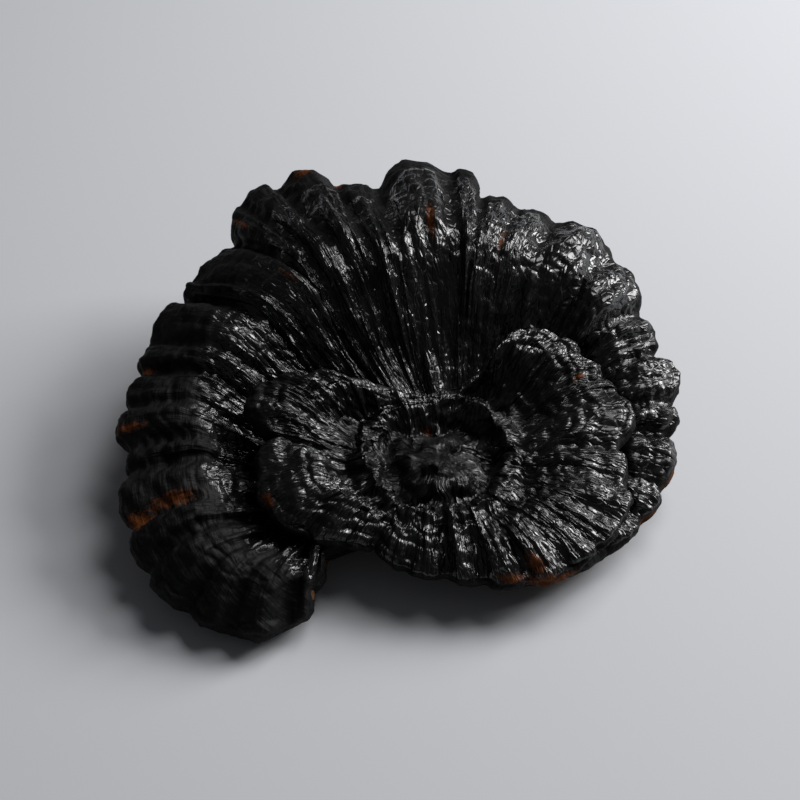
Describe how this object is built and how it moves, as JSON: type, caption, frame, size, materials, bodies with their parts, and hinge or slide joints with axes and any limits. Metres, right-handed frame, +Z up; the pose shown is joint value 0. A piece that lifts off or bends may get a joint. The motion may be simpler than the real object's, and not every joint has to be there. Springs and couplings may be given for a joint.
{
  "type": "dried reishi mushroom",
  "caption": "Dried lacquered bracket fungus with a broad ribbed cap, a smaller cratered cap over its front and a short cut stem to rest on.",
  "frame": {"origin": "centre of the stem's flat cut, on the surface it rests on", "axes": "+Z up from the cut; +X to the right and +Y to the high back of the large cap"},
  "size_m": [0.3113, 0.3025, 0.1028],
  "materials": {
    "lower_lacquer": "hard black lacquered crust, wrinkled and glossy, with a matte band along the margin",
    "upper_lacquer": "hard black lacquered crust, wrinkled and glossy",
    "stem_cork": "dry corky wood, dark skin on the side and a plain sawn face below"
  },
  "bodies": {
    "root": {"large_cap": "lower_lacquer", "small_cap": "upper_lacquer", "stem": "stem_cork"}
  },
  "joints": []
}
